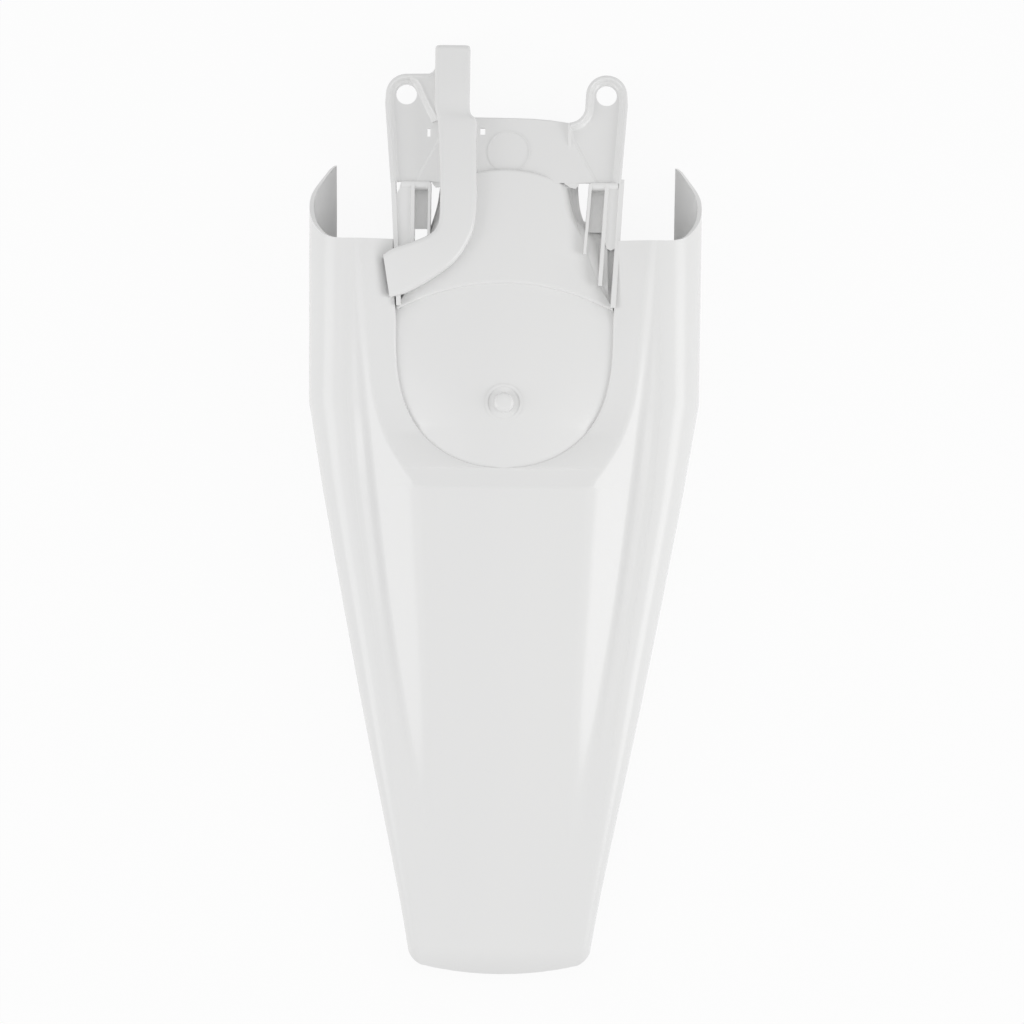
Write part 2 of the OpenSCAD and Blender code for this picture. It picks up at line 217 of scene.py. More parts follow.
# ---------------------------------------------------------------- meshes
def rounded(corners, radii, arc=7, straight=4):
    """Rows of corner points become rows of dense points: each inner corner is replaced by a
    parabola (1-u)^2 A + 2u(1-u) P + u^2 B that starts and ends its radius away from it."""
    legs = np.diff(corners, axis=1)
    size = np.linalg.norm(legs, axis=2)
    unit = legs / np.maximum(size, 1e-9)[..., None]
    room = 0.46 * size
    cut = np.minimum(radii[:, 1:-1], np.minimum(room[:, :-1], room[:, 1:]))[..., None]
    start = corners[:, 1:-1] - unit[:, :-1] * cut
    stop = corners[:, 1:-1] + unit[:, 1:] * cut
    u = np.linspace(0, 1, arc)[None, None, :, None]
    bend = ((1 - u) ** 2 * start[:, :, None] + 2 * u * (1 - u) * corners[:, 1:-1, None]
            + u ** 2 * stop[:, :, None])
    begin = np.concatenate([corners[:, :1], stop], axis=1)
    end = np.concatenate([start, corners[:, -1:]], axis=1)
    t = np.linspace(0, 1, straight + 2)[1:-1][None, None, :, None]
    line = begin[:, :, None] * (1 - t) + end[:, :, None] * t
    rows = [corners[:, :1]]
    for i in range(line.shape[1]):
        rows.append(line[:, i])
        rows.append(bend[:, i] if i < bend.shape[1] else corners[:, -1:])
    return np.concatenate(rows, axis=1)


def grid_normals(p):
    """Unit normals of a grid of points, from the cross product of its two differences. They
    point up where rows run backwards and columns to the right."""
    n = np.cross(np.gradient(p, axis=0), np.gradient(p, axis=1))
    return n / np.maximum(np.linalg.norm(n, axis=2), 1e-12)[..., None]


def quads(rows, cols):
    a = np.arange(rows * cols).reshape(rows, cols)
    return np.stack([a[:-1, :-1], a[:-1, 1:], a[1:, 1:], a[1:, :-1]], axis=-1).reshape(-1, 4)


def strip(a, b):
    """Quads between two equal lines of vertex numbers."""
    return np.stack([a[:-1], b[:-1], b[1:], a[1:]], axis=-1)


def closed_sheet(top, bottom):
    """Two grids of points, one over the other, joined round their four edges."""
    rows, cols = top.shape[:2]
    n = rows * cols
    a = np.arange(n).reshape(rows, cols)
    b = a + n
    faces = [quads(rows, cols)[:, ::-1], quads(rows, cols) + n,
             strip(b[0], a[0]), strip(a[-1], b[-1]), strip(a[:, 0], b[:, 0]), strip(b[:, -1], a[:, -1])]
    return np.concatenate([top.reshape(-1, 3), bottom.reshape(-1, 3)]), np.concatenate(faces)


def sheet_from(top, wall=WALL):
    """A sheet of even wall under a grid: each point moves back along its normal."""
    return closed_sheet(top, top - grid_normals(top) * wall)


def mirrored(part):
    points, faces = part
    return points * [-1, 1, 1], [list(f)[::-1] for f in faces]


def inside(points, loops):
    """Even-odd test: a point is inside if a line to the right of it crosses an odd number of
    the loops' sides."""
    a = np.concatenate(loops)
    b = np.concatenate([np.roll(loop, -1, axis=0) for loop in loops])
    x, y = points[:, :1], points[:, 1:]
    spans = (a[:, 1] > y) != (b[:, 1] > y)
    rise = np.where(b[:, 1] == a[:, 1], 1.0, b[:, 1] - a[:, 1])
    cross = a[:, 0] + (y - a[:, 1]) / rise * (b[:, 0] - a[:, 0])
    return (spans & (x < cross)).sum(axis=1) % 2 == 1


def slab(outline, holes, low, high):
    """A flat outline with holes, filled between two heights that depend on x and y."""
    loops = [np.array(loop, float) for loop in [outline] + list(holes)]
    starts = np.cumsum([0] + [len(loop) for loop in loops])
    edges = [(at + i, at + (i + 1) % len(loop))
             for at, loop in zip(starts, loops) for i in range(len(loop))]
    made = delaunay_2d_cdt([Vector(p) for p in np.concatenate(loops)], edges, [], 0, 1e-5)
    verts, tris = np.array([tuple(v) for v in made[0]]), np.array(made[2])
    tris = tris[inside(verts[tris].mean(axis=1), loops)]
    n = len(verts)
    top = np.column_stack([verts, high(verts[:, 0], verts[:, 1])])
    bottom = np.column_stack([verts, low(verts[:, 0], verts[:, 1])])
    sides = np.concatenate([tris[:, [0, 1]], tris[:, [1, 2]], tris[:, [2, 0]]])
    code, back = sides[:, 0] * n + sides[:, 1], sides[:, 1] * n + sides[:, 0]
    rim = sides[~np.isin(code, back)]
    walls = np.column_stack([rim[:, 1], rim[:, 0], rim[:, 0] + n, rim[:, 1] + n])
    return (np.concatenate([top, bottom]),
            tris.tolist() + (tris[:, ::-1] + n).tolist() + walls.tolist())


def joined(parts):
    """Points and faces of several closed shells put in one list."""
    points, faces, at = [], [], 0
    for p, f in parts:
        points.append(np.asarray(p, float))
        faces.extend([[int(v) + at for v in face] for face in f])
        at += len(p)
    return np.concatenate(points), faces


def lofted(rows):
    """Closed solid through rows of equal loops, with both ends capped."""
    n, m = rows.shape[:2]
    faces = [[i * m + j, i * m + (j + 1) % m, (i + 1) * m + (j + 1) % m, (i + 1) * m + j]
             for i in range(n - 1) for j in range(m)]
    return rows.reshape(-1, 3), faces + [list(range(m))[::-1], [(n - 1) * m + j for j in range(m)]]


def turned(profile, cx, cy, n=72):
    """A profile of (radius, height) points turned about an upright axis, closed at its ends."""
    r, z = np.array(profile, float).T
    a = np.linspace(0, 2 * np.pi, n, endpoint=False)[:, None]
    points = np.stack([cx + r * np.cos(a), cy + r * np.sin(a), z + 0 * a], axis=2)
    m = len(r)
    faces = [[i * m + j, ((i + 1) % n) * m + j, ((i + 1) % n) * m + j + 1, i * m + j + 1]
             for i in range(n) for j in range(m - 1)]
    faces += [[i * m for i in range(n)][::-1], [i * m + m - 1 for i in range(n)]]
    return points.reshape(-1, 3), faces


def make_object(name, part, angle=35.0):
    """A piece of the fender from points in millimetres over the floor: its origin goes to the
    ear seats' height, and edges sharper than the angle stay crisp."""
    points, faces = part
    place = np.array(points) - [0, 0, EAR_Z]
    mesh = bpy.data.meshes.new(name)
    mesh.from_pydata((place * MM).tolist(), [], faces)
    work = bmesh.new()
    work.from_mesh(mesh)
    bmesh.ops.remove_doubles(work, verts=work.verts, dist=0.004 * MM)
    bmesh.ops.dissolve_degenerate(work, edges=work.edges, dist=0.002 * MM)
    work.to_mesh(mesh)
    work.free()
    mesh.shade_smooth()
    mesh.set_sharp_from_angle(angle=np.radians(angle))
    piece = bpy.data.objects.new(name, mesh)
    bpy.context.scene.collection.objects.link(piece)
    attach(piece, "root")
    return piece


# ---------------------------------------------------------------- shell of the fender
ROLL_STEPS = 15
SKIRT_STEPS = 10
MIN_HALF = 0.6          # half of the well's narrowest row of points


def section(s):
    """Points (x, z) of the right half of the skin, one row for each s. Rounded corners: foot
    and top of the well's wall, crest, crease, start of the rail. Then the roll, a quarter
    ellipse, and the skirt, a parabola that curls in by skirt_in."""
    q = np.maximum(s, DECK_FRONT)
    xs, r, zr = side_x(s), roll_r(q), rail_z(q)
    xr = xs - r
    xc = np.minimum(crease_x(q), xr - 1.2)
    xd = np.minimum(deck_x(q), xc - 3.2)
    zc, zd, z0, drop = crease_z(q), crest_z(q), skirt_z(q), lip(s)
    zs = np.maximum(zr - r, z0 + 3)
    w = well_x(q)
    deep = (q < WELL_BACK) * 1.0
    zw = np.maximum(band_z(q), arch_z(w, q) + 1.2)
    cols = [(w, mix(zd + 0.3, arch_z(w, q) - 2.0, deep), 0),
            (w + 0.35 * deep + 0.02, mix(zd + 0.3, zw, deep), 1.6),
            (xd, zd, 2.2 + 5.0 * fade(q) * (q > CREST_BACK)), (xc, zc, 3.5),
            (mix(xc, xr, 0.72), mix(zc, zr, smooth(0.72)), 9.0), (xr, zr, 0)]
    corners = np.stack([np.stack([c[0] + 0 * s, c[1] - drop], axis=1) for c in cols], axis=1)
    radii = np.stack([c[2] + 0 * s for c in cols], axis=1)
    a = np.radians(np.linspace(0, 90, ROLL_STEPS + 1)[None, 1:])
    k = np.linspace(0, 1, SKIRT_STEPS + 1)[None, 1:]
    s, xs, xr, r, zr, zs, z0, drop = (v[:, None] for v in (s, xs, xr, r, zr, zs, z0, drop))
    roll = np.stack([xr + r * np.sin(a), zs + (zr - zs) * np.cos(a) - drop], axis=2)
    skirt = np.stack([xs - skirt_in(s) * k ** 2,
                      np.maximum(mix(zs, z0, k) - drop * (1 - k), z0 * k)], axis=2)
    return np.concatenate([rounded(corners, radii, arc=6, straight=3), roll, skirt], axis=1)


def wing_front(z):
    """Front edge of the skin at height z: straight across the deck, then raked forwards down
    the wing to its tip."""
    return curve([(0, WING_TIP), (0.8, 46.8), (4, 51.4), (8, 56.7), (13.3, 62.4), (19.2, 68.2),
                  (25, 74.5), (31, 80), (35, 84.2), (42.4, 90.6), (47.6, 95.3), (51.7, 97.5), (54, 98)], z)


def tail_edge(x):
    """End of the tail at x: a shallow arc with rounded corners."""
    a = np.abs(x)
    arc = TAIL_END - 6.9 * (a / 53) ** 2
    corner = np.clip((a - 49.0) / 9.5, 0, 1)
    return arc - 10.5 * (1 - np.sqrt(np.clip(1 - corner ** 2.2, 0, 1)))


def skin_rows():
    """Grid of s values for the right half of the skin. Rows in front of the deck gather on
    the raked edge, and rows near the tail on the tail's rounded end."""
    s = np.concatenate([np.linspace(WING_TIP, DECK_FRONT, 22), np.linspace(100, 196, 30),
                        np.linspace(199, 238, 20), np.linspace(239, 248.8, 22), np.linspace(249.2, 268, 20),
                        np.linspace(272, 560, 60), np.linspace(563, TAIL_END, 22)])
    straight_from, straight_to, deck_edge = 110.0, 540.0, 108.0
    level = section(np.full(1, DECK_FRONT))[0]
    first = np.where(level[:, 0] < deck_edge, DECK_FRONT, wing_front(level[:, 1]))[None, :]
    rows = s[:, None] + 0 * first
    lead = np.clip((rows - WING_TIP) / (straight_from - WING_TIP), 0, 1)
    rows = np.where(rows < straight_from, first + (straight_from - first) * lead, rows)
    last = tail_edge(section(np.full(1, TAIL_END))[0][:, 0])[None, :]
    ending = straight_to + (rows - straight_to) * (last - straight_to) / (TAIL_END - straight_to)
    return np.where(rows > straight_to, ending, rows)


def skin():
    """Both halves as one closed shell: outer surface, inner surface one wall below it along
    the normals, and strips round the edges. Behind the well the halves share the middle."""
    rows = skin_rows()
    top = np.zeros(rows.shape + (3,))
    for c in range(rows.shape[1]):
        at = section(rows[:, c])[:, c]
        top[:, c] = np.column_stack([at[:, 0], -rows[:, c], at[:, 1]])
    points, faces = closed_sheet(top, top - grid_normals(top) * WALL)
    points[np.abs(points[:, 0]) < 0.03, 0] = 0.0
    faces = faces[~(points[faces, 0] == 0).all(axis=1)]
    return (np.concatenate([points, points * [-1, 1, 1]]),
            np.concatenate([faces, faces[:, ::-1] + len(points)]))


def arch_bend(x, k):
    """How far a line across the arch bows back at x: k = 0 at its front edge, 1 at the step."""
    return mix(29.9, 17.6, k) * (x / ARCH_HALF) ** 2


def side_rise(x, s):
    """How much the arch lifts towards its sides, until it lies WELL_STEP under the band. It
    starts under the back part of the hood and grows with the cube of the distance out."""
    edge = np.maximum(well_x(s), MIN_HALF)
    gap = band_z(s) - WELL_STEP - arch_z(edge, s)
    along = smooth((s - 100 - arch_bend(x, 1)) / 38)
    return np.maximum(gap, 0) * along * np.minimum(np.abs(x) / edge, 1) ** 3


def tray():
    """Floor of the well: the arch surface inside the well's outline grown under its wall.
    Columns run from side to side, and the first row bows along the hood."""
    grow = 2.1
    v = np.linspace(0, 1, 90)[:, None]
    u = np.linspace(-1, 1, 73)[None, :]
    x_front = (ARCH_HALF + 1.0) * u
    s_front = HOOD_BACK - 7 + arch_bend(x_front, 1)
    s = s_front + (WELL_BACK + grow - s_front) * np.sin(v * np.pi / 2)
    x = np.maximum(well_x(s, grow), MIN_HALF) * u
    return sheet_from(np.stack([x, -s, arch_z(x, s) + side_rise(x, s)], axis=2), 2.6)


def cheek_x(k):
    """Half-width of the hood: k = 0 at its front edge, 1 at its back edge."""
    return curve([(0, 41.4), (0.15, 43.6), (0.3, 47.4), (0.5, 53.2), (0.7, 58.6), (0.86, 64.4),
                  (1, 71.8)], k)


# Rounded edge of the hood: how far out, and height over the arch.
HOOD_EDGE = [(0.5, 2.5), (1.1, 2.1), (1.6, 1.4), (1.9, 0.5), (2.0, -0.3)]
# Reach of the hood's flanks at their foot, for s: right, then left.
REACH_RIGHT = [(50, 8), (78, 5.2), (84, 5.2), (91, 14), (98, 20), (104, 19), (124, 11), (136, 5),
               (144, 0.8)]
REACH_LEFT = [(50, 3), (80, 1.6), (95, 1.2), (103, 16), (124, 11), (136, 4), (144, 0.8)]


def flank(edge, reach_line, side):
    """Flank of the hood, from its edge to its foot. Where its reach is short it is a steep
    wall with a level foot: out by d^2, down by 1 - (1 - d)^1.6. Where the reach is long it
    goes on less steeply than the arch and dips by 4.5 beside the middle rib."""
    d = np.linspace(0, 1, 15)[None, 1:]
    x, s, z = edge[:, :1], -edge[:, 1:2], edge[:, 2:]
    reach = np.interp(s, *np.array(reach_line, float).T)
    long = smooth((reach - 5) / 5)
    fall = z - np.minimum(EAR_Z + s * PLATE_RISE - 7, z - 5)
    out = x + side * reach * mix(d ** 2, d, long)
    wall = z - fall * (1 - (1 - d) ** 1.6)
    roll = z + 0.35 * (arch_z(out, s) - arch_z(x, s)) - 4.5 * np.clip(d / 0.45, 0, 1) ** 3
    return np.stack([out, -s + 0 * d, mix(wall, roll, long)], axis=2)


def hood():
    """Raised front of the arch, between its two bowed edges. Its edges are rounded all round,
    and its flanks run down to the towers."""
    out, up = np.array(HOOD_EDGE).T
    k = np.concatenate([np.zeros(6), np.linspace(0, 1, 70), np.ones(5)])[:, None]
    ds = np.concatenate([[-2.2], -out[::-1], np.zeros(70), out])[:, None]
    over = np.concatenate([[-3.6], up[::-1], np.full(70, HOOD_STEP), up])[:, None]
    near = 1 - np.array([0.03, 0.25, 0.7, 1.4, 2.3, 3.4, 4.6, 5.8, 7.0]) / 50
    u = np.concatenate([-near, np.linspace(-0.84, 0.84, 49), near[::-1]])[None, :]
    x = cheek_x(k) * u
    s = mix(HOOD_FRONT, HOOD_BACK, k) + arch_bend(x, k) + ds
    r = mix(7.0, 0.4, smooth((k - 0.24) / 0.2))
    d = np.clip(r - cheek_x(k) * (1 - np.abs(u)), 0, r)
    z = arch_z(x, s) + side_rise(x, s) + over - r + np.sqrt(r ** 2 - d ** 2)
    top = np.stack([x, -s, z], axis=2)
    right = flank(top[:, -1], REACH_RIGHT, 1)
    left = flank(top[:, 0], REACH_LEFT, -1)[:, ::-1]
    return sheet_from(np.concatenate([left, top, right], axis=1), 3.0)


# ---------------------------------------------------------------- plate, ears and towers
def plate_z(x, y):
    """Height of the bracket plate: a plane through the ear seats that rises towards the arch."""
    return EAR_Z - y * PLATE_RISE


def circle(cx, cy, r, n=48, a0=0.0, a1=360.0):
    """Points on a circle, or on an arc of it from a0 to a1 degrees."""
    a = np.radians(np.linspace(a0, a1, n, endpoint=(a1 - a0) < 360))
    return np.column_stack([cx + r * np.cos(a), cy + r * np.sin(a)])


def on_plate(outline, holes, low, high):
    """A slab whose faces follow the bracket plate, low and high above it."""
    return slab(outline, holes, lambda x, y: plate_z(x, y) + low, lambda x, y: plate_z(x, y) + high)


def flip(points):
    """The same outline on the other side, turned the same way round."""
    return (np.asarray(points, float) * [-1, 1])[::-1]


# Front edge of the plate, between the channel and the fin, and the middle's side on the right.
FRONT_EDGE = [(-24, -15.4), (-8, -15.5), (6, -15.7), (18, -16.0), (30, -17.0), (41.3, -18.7)]
MIDDLE_SIDE = [(42.5, -19.2), (43.2, -29.0), (59.3, -PLATE_BACK)]
# Back part of the plate's side on the right.
PLATE_SIDE = [(80.9, -6), (76.4, -PLATE_BACK)]
# Edge from the left ear round to the channel.
LEFT_SHOULDER = [(-56, 13.9), (-51.6, 14), (-49.4, 15.2), (-47.6, 18.2), (-45, 18.2), (-45, -18.7)]
TIE_SLOTS = [[(-52.5, -28.7), (-50.5, -28.7), (-50.5, -23.3), (-52.5, -23.3)],
             [(-17.3, -27.3), (-14, -27.3), (-14, -22.7), (-17.3, -22.7)]]


# Rim of the plate: distance in from the outline, and height over the plate.
RIM = [(0, -RIM_FOOT), (0, 3.3), (0.35, 4.1), (1, RIM_RISE), (1.9, RIM_RISE), (2.6, 4.0), (3.3, 2.6),
       (4.2, 1.0), (5.6, 0.15), (6.2, -0.4)]
# Rounded front edge of the plate, in the same way.
EDGE = [(0, -RIM_FOOT), (0, -0.7), (0.2, -0.1), (0.7, 0.3), (1.4, 0.45), (2.2, 0.4), (3.0, -0.4)]
# Inner ridge of the left ear, from the top of the ear to the channel.
RIDGE = [(-66, 11.2), (-62.4, 10.6), (-59.4, 8.6), (-57.2, 5.4), (-55.4, 1.6), (-53.4, -3.0),
         (-51.0, -8.0), (-47.6, -14.6), (-46, -18.5)]


def rim(path, profile=RIM):
    """Rounded rim swept along a path that has the plate on its right: each of its points
    moves in along the path's normal (dy, -dx)."""
    p = np.asarray(path, float)
    along = np.gradient(p, axis=0)
    along /= np.linalg.norm(along, axis=1)[:, None]
    inset, up = np.array(profile[::-1]).T
    at = p[:, None] + np.column_stack([along[:, 1], -along[:, 0]])[:, None] * inset[None, :, None]
    level = plate_z(at[..., 0], at[..., 1])
    return closed_sheet(np.dstack([at, level + up]), np.dstack([at, level - RIM_FOOT]))


def curved(points, n=40):
    """A smooth line through points, by place along their list."""
    k = np.linspace(0, len(points) - 1, n)
    return np.column_stack([curve([(i, p[c]) for i, p in enumerate(points)], k) for c in (0, 1)])


def side_line(x0, y0, x1, y1, n=12):
    """Points along a straight line."""
    k = np.linspace(0, 1, n)[:, None]
    return np.array([x0, y0]) * (1 - k) + np.array([x1, y1]) * k


def middle_parts():
    """Raised middle of the plate: level between two lines that spread towards the arch, with
    a ramp on either side. The ramps lie a hair lower where they lap over the level part."""
    side = np.array(MIDDLE_SIDE)
    wide = 2.7
    ramp = np.concatenate([side - [0.4, 0.05], side[::-1] + [wide, 0.05]])
    level = np.concatenate([side, side[::-1] * [-1, 1], [(-24, -16.0)],
                            np.array(FRONT_EDGE[1:5]) - [0, 0.6]])

    def low(x, y):
        return plate_z(x, y) - 1.5

    def high(x, y):
        line = np.interp(y, side[::-1, 1], side[::-1, 0])
        return plate_z(x, y) + 1.1 - 0.6 * np.clip(np.abs(x) - line, 0, wide)

    def sunk(x, y):
        return high(x, y) - 0.02

    return [slab(level, [TIE_SLOTS[1]], low, high), slab(ramp, [], low, sunk),
            slab(ramp * [-1, 1], [], low, sunk)]


def gusset():
    """Thin fin behind the front rim, right side, that falls back to the plate."""
    loop = [(-19, -2), (-19, RIM_RISE - 0.4), (-19.6, RIM_RISE), (-22, RIM_RISE), (-37, 0.8), (-38, -2)]
    slices = [(41.0, 0.5), (41.4, 0.0), (42.8, 0.0), (43.2, 0.5)]
    return lofted(np.array([[[x, y, plate_z(x, y) + up - tuck] for y, up in loop] for x, tuck in slices]))


def plate_parts():
    """Bracket: plate with ears, rounded rim round them, raised middle, fin and round boss."""
    inner, ear = (41.3, -7.4, 11.3), (EAR_X, 0, EAR_R)
    right = np.concatenate([FRONT_EDGE, circle(*inner, 12, -85, -2), circle(*ear, 36, 178, 0), PLATE_SIDE])
    left = np.concatenate([LEFT_SHOULDER[:0:-1], flip(circle(*ear, 24, 84, 0))[::-1],
                           np.array(PLATE_SIDE) * [-1, 1]])
    outline = np.concatenate([right, left[::-1]])
    bolt_holes = [circle(EAR_X, 0, EAR_HOLE_R), circle(-EAR_X, 0, EAR_HOLE_R)]
    plate = on_plate(outline, bolt_holes + TIE_SLOTS, -PLATE_WALL, 0)
    rim_right = rim(np.concatenate([circle(*inner, 14, -85, -2), circle(*ear, 40, 178, 0),
                                    side_line(80.9, -6, 76.4, -60)]))
    rim_left = rim(np.concatenate([side_line(-76.4, -60, -80.9, -6), flip(circle(*ear, 30, 88, 0)),
                                   LEFT_SHOULDER[:4]]))
    ridge = rim(curved(RIDGE) + [1.6, 1.4], RIM[3:])
    shoulder_line = np.concatenate([curved(RIDGE) + [0.1, 0.1], [
        (-45, -17), (-45, 18), (-47.8, 17.8), (-49.6, 14.6), (-52, 13.2), (-64.4, 13.2)]])
    shoulder = on_plate(shoulder_line, [], -2.0, 4.1)
    front = rim(np.concatenate([FRONT_EDGE, [(43, -18.9)]]), EDGE)
    boss = on_plate(circle(1.8, -38.7, 14.2, 72), [circle(1.8, -38.7, 13.4, 72)], 0.5, 1.6)
    return [plate, rim_right, rim_left, ridge, shoulder, front, boss, gusset()] + middle_parts()


def rib_top(s):
    """Height of the ribs' tops: a millimetre under the rim where the towers begin, then
    rising evenly."""
    return plate_z(0, -TOWER_FRONT) + RIM_RISE - 1 + (s - TOWER_FRONT) * 0.13


def rib(x0, x1, s0, s1, thick, deep=17.0, draft=0.35):
    """Upright rib along the part, with slightly thinner top: its top follows rib_top."""
    s = np.linspace(s0, s1, 24)
    x = np.interp(s, [s0, s1], [x0, x1])
    top = rib_top(s)
    loop = [(x, top - deep), (x + draft * 0.5, top - 0.6), (x + draft, top), (x + thick - draft, top),
            (x + thick - draft * 0.5, top - 0.6), (x + thick, top - deep)][::-1]
    return lofted(np.stack([np.stack([a, -s, b], axis=1) for a, b in loop], axis=1))


TOWER_FRONT = 57.0
# Ribs of the right and of the left tower: distance out at the front and at the back end, the
# ends behind the ears, and thickness.
RIGHT_RIBS = [(55.2, 51.4, 60, 107, 2.4), (65.7, 61.4, 60, 128, 3.0), (75.0, 69.7, TOWER_FRONT, 142.5, 3.8)]
LEFT_RIBS = [(49.4, 49.6, 60, 97, 2.3), (60.1, 60.1, 60, 106, 3.0), (73.0, 68.4, TOWER_FRONT, 142, 3.5)]
# Outlines of the pocket floors and of the steps between the two outer ribs.
RIGHT_FLOOR = [(56, -60), (54.4, -92), (64, -92), (67.5, -60)]
LEFT_FLOOR = [(50.4, -60), (50.4, -90.5), (62, -90.5), (62, -60)]
RIGHT_STEP = [(67, -61), (65.5, -98), (67, -103), (70, -104.5), (73.2, -102.5), (76, -61),
              (75.6, -59.2), (74.6, -59.2), (74.2, -61)]
LEFT_STEP = [(62, -60), (62, -104), (72.5, -104), (74.8, -68), (72.2, -67.4), (70.6, -64.5),
             (69.2, -59.2), (66, -59.2)]
# Profile of the rounded cross wall: place along the part, and height over the ribs' tops.
CROSS_WALL = [(-59.0, -17), (-59.0, -1.6), (-59.4, -0.6), (-60.3, -0.1), (-61.8, 0.0), (-62.8, -0.4),
              (-63.6, -1.4), (-64.3, -4), (-64.6, -17)]
# Strip beside the middle rib, and the floor of the narrow wedge outside it.
STRIP = [(64.5, -97), (62.5, -128), (66, -140), (68.6, -140), (67.6, -104), (68, -97)]
WEDGE = [(67, -97), (67.5, -140), (71.5, -141.5), (74, -97)]
# Small web between the plate and the inner rib.
CORNER = [(39, -58), (48.8, -58), (48.6, -60.6), (46.4, -63.2), (43, -62.6), (39, -60)]


def under_ribs(outline, low, high):
    """A slab whose faces follow the ribs' tops, low and high under them."""
    return slab(outline, [], lambda x, y: rib_top(-y) - low, lambda x, y: rib_top(-y) - high)


def falling(outline, low, high, long):
    """A slab whose two faces fall evenly, each from its first height to its second, over a
    length that begins at the front of the deck."""
    return slab(outline, [], lambda x, y: mix(*low, (-y - DECK_FRONT) / long),
                lambda x, y: mix(*high, (-y - DECK_FRONT) / long))


def tower_parts(ribs, floor_line, step_line, cross_end):
    """Ribs, rounded cross wall, pocket floor and the higher step beside the outer rib, as on
    the right side: they join the bracket to the deck."""
    y, up = np.array(CROSS_WALL).T
    x = np.linspace(ribs[0][0] + 1, cross_end, 6)[:, None]
    cross = lofted(np.stack([x + 0 * y, y + 0 * x, rib_top(60) + up + 0 * x], axis=2))
    pocket = under_ribs(floor_line, 13, 10)
    step = under_ribs(step_line, 5, 1.6)
    beside_rib = falling(STRIP, (36, 30), (42, 36), 42)
    wedge = falling(WEDGE, (33, 29), (37, 32), 43)
    corner = on_plate(CORNER, [], -PLATE_WALL, 0.2)
    return [rib(*r) for r in ribs] + [cross, pocket, step, beside_rib, wedge, corner]


# ---------------------------------------------------------------- harness channel and peg
# Rows of the channel: x and y of its left edge, then of its right edge, height of the top and
# of the foot.
DUCT_FRONT = 33.0
DUCT = [(-47.8, DUCT_FRONT, -24.4, DUCT_FRONT, 23, 11), (-47.8, 6, -24.4, 6, 30.5, 18),
        (-47.6, -8, -24.1, -12, 34, 22), (-45.6, -20, -19.7, -19, 37.6, 25),
        (-44.4, -36, -19.8, -36, 42, 29), (-43.6, -57, -19.4, -57, 47, 33),
        (-43.4, -73, -19.2, -74, 50, 36), (-44.2, -87, -21.7, -93.2, 52.6, 37),
        (-49.4, -94.6, -31.5, -110.8, 54.6, 37), (-60.2, -99.8, -47.0, -123.5, 56.0, 35),
        (-73.4, -104.4, -63.4, -133.0, 55.0, 37), (-80.6, -108.6, -76.0, -137.0, 53.4, 41)]


def channel():
    """Harness channel: an upside-down U swept through the rows of DUCT, its top edges rounded
    with quarter ellipses 3.4 wide and 3 high. Its front end rounds down over 3 mm: there the
    sides move in and the top down by shares of 1 - sqrt(1 - c^2)."""
    k = np.concatenate([np.linspace(0, 0.11, 9), np.linspace(0.13, len(DUCT) - 1, 140)])
    rows = np.stack([curve([(i, d[c]) for i, d in enumerate(DUCT)], k) for c in range(6)], axis=1)
    pull = 1 - np.sqrt(1 - np.clip(1 - (DUCT_FRONT - rows[:, 1]) / 3, 0, 1) ** 2)
    rows[:, 0] += 1.6 * pull
    rows[:, 2] -= 1.6 * pull
    rows[:, 4] -= 2.2 * pull
    left = np.column_stack([rows[:, 0], rows[:, 1], rows[:, 4]])
    right = np.column_stack([rows[:, 2], rows[:, 3], rows[:, 4]])
    span = right - left
    width = np.linalg.norm(span, axis=1)[:, None]
    unit = span / width
    up = np.array([0, 0, 1.0])
    foot = (rows[:, 4] - rows[:, 5])[:, None]

    def outline(inner):
        t, rx, rz = (2.3, 1.8, 1.6) if inner else (0.0, 3.4, 3.0)
        a = np.radians(np.linspace(0, 90, 7))
        turns = [(t + rx * (1 - np.cos(b)), t + rz * (1 - np.sin(b))) for b in a]
        line = [left + unit * t - up * foot]
        line += [left + unit * inwards - up * down for inwards, down in turns]
        line += [right - unit * inwards - up * down for inwards, down in turns[::-1]]
        line += [right - unit * t - up * foot]
        return np.stack(line, axis=1)

    body = closed_sheet(outline(False), outline(True))
    end = slab([(-44.6, 30.6), (-44.6, 32.6), (-27.6, 32.6), (-27.6, 30.6)], [],
               lambda x, y: 11.4 + 0 * x, lambda x, y: 19.6 + 0 * x)
    return [body, end]


def peg_parts():
    """Locating peg with a rounded end, and the low ring round its dimple."""
    z = CROWN_Z - 0.35
    profile = np.array([(6.5, -1.6), (6.5, 3.6), (6.2, 4.5), (5.4, 5.2), (4.0, 5.65), (2.0, 5.85)])
    peg = turned(profile + [0, z], 0, -PEG_S)
    ring = slab(circle(0, -PEG_S, 12.4, 72), [circle(0, -PEG_S, 10.6, 72)],
                lambda x, y: z - 1.4 + 0 * x, lambda x, y: z + 0.5 + 0 * x)
    return [peg, ring]


# ---------------------------------------------------------------- the one moulded part
def bracket_parts():
    """Hood, plate, towers and channel. The cross wall ends nearer the middle on the left."""
    right_tower = tower_parts(RIGHT_RIBS, RIGHT_FLOOR, RIGHT_STEP, 74.6)
    left_tower = [mirrored(part) for part in tower_parts(LEFT_RIBS, LEFT_FLOOR, LEFT_STEP, 69.1)]
    return [hood()] + plate_parts() + right_tower + left_tower + channel()


shell = make_object("rear_fender_shell", joined([skin(), tray()] + peg_parts()))
bracket = make_object("rear_fender_bracket", joined(bracket_parts()))
for piece in (shell, bracket):
    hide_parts("rear_fender")


